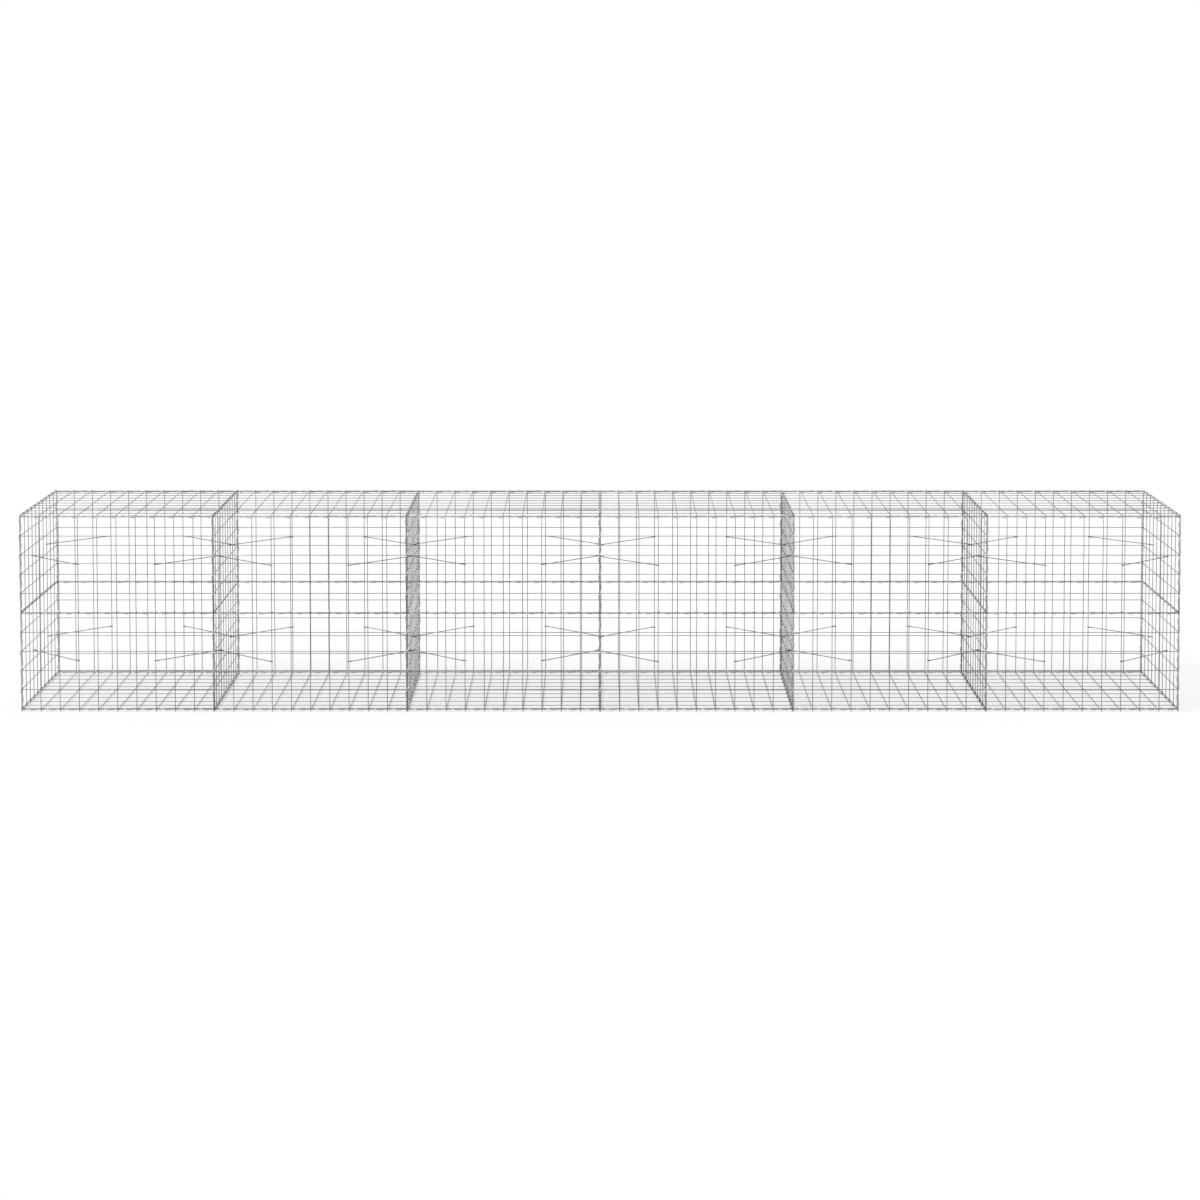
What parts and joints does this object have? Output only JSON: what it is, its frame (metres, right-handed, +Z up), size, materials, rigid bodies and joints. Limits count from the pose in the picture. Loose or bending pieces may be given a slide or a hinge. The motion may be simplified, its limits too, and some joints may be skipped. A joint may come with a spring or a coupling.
{
  "type": "gabion wall",
  "caption": "Free-standing run of empty welded-mesh gabion baskets with lids, partitions, spiral binders and corner bracing ties.",
  "frame": {"origin": "centre of the footprint, on the ground", "axes": "+X along the wall, -Y out of the front, +Z up"},
  "size_m": [6.0438, 1.0316, 1.0336],
  "materials": {
    "mesh_wire": "hot-dip galvanised welded wire",
    "spiral_wire": "galvanised spring wire",
    "tie_wire": "galvanised drawn wire"
  },
  "bodies": {
    "root": {"front_mesh_1": "mesh_wire", "front_mesh_2": "mesh_wire", "front_mesh_3": "mesh_wire", "front_mesh_4": "mesh_wire", "front_mesh_5": "mesh_wire", "front_mesh_6": "mesh_wire", "back_mesh_1": "mesh_wire", "back_mesh_2": "mesh_wire", "back_mesh_3": "mesh_wire", "back_mesh_4": "mesh_wire", "back_mesh_5": "mesh_wire", "back_mesh_6": "mesh_wire", "floor_mesh_1": "mesh_wire", "floor_mesh_2": "mesh_wire", "floor_mesh_3": "mesh_wire", "floor_mesh_4": "mesh_wire", "floor_mesh_5": "mesh_wire", "floor_mesh_6": "mesh_wire", "lid_mesh_1": "mesh_wire", "lid_mesh_2": "mesh_wire", "lid_mesh_3": "mesh_wire", "lid_mesh_4": "mesh_wire", "lid_mesh_5": "mesh_wire", "lid_mesh_6": "mesh_wire", "partition_mesh_1": "mesh_wire", "partition_mesh_2": "mesh_wire", "partition_mesh_3": "mesh_wire", "partition_mesh_4": "mesh_wire", "partition_mesh_5": "mesh_wire", "left_end_mesh": "mesh_wire", "right_end_mesh": "mesh_wire", "front_bottom_spirals": "spiral_wire", "front_middle_spirals": "spiral_wire", "front_top_spirals": "spiral_wire", "back_bottom_spirals": "spiral_wire", "back_middle_spirals": "spiral_wire", "back_top_spirals": "spiral_wire", "front_upright_spirals": "spiral_wire", "back_upright_spirals": "spiral_wire", "cross_floor_spirals": "spiral_wire", "cross_middle_spirals": "spiral_wire", "cross_lid_spirals": "spiral_wire", "front_tie_wires": "tie_wire", "back_tie_wires": "tie_wire"}
  },
  "joints": []
}
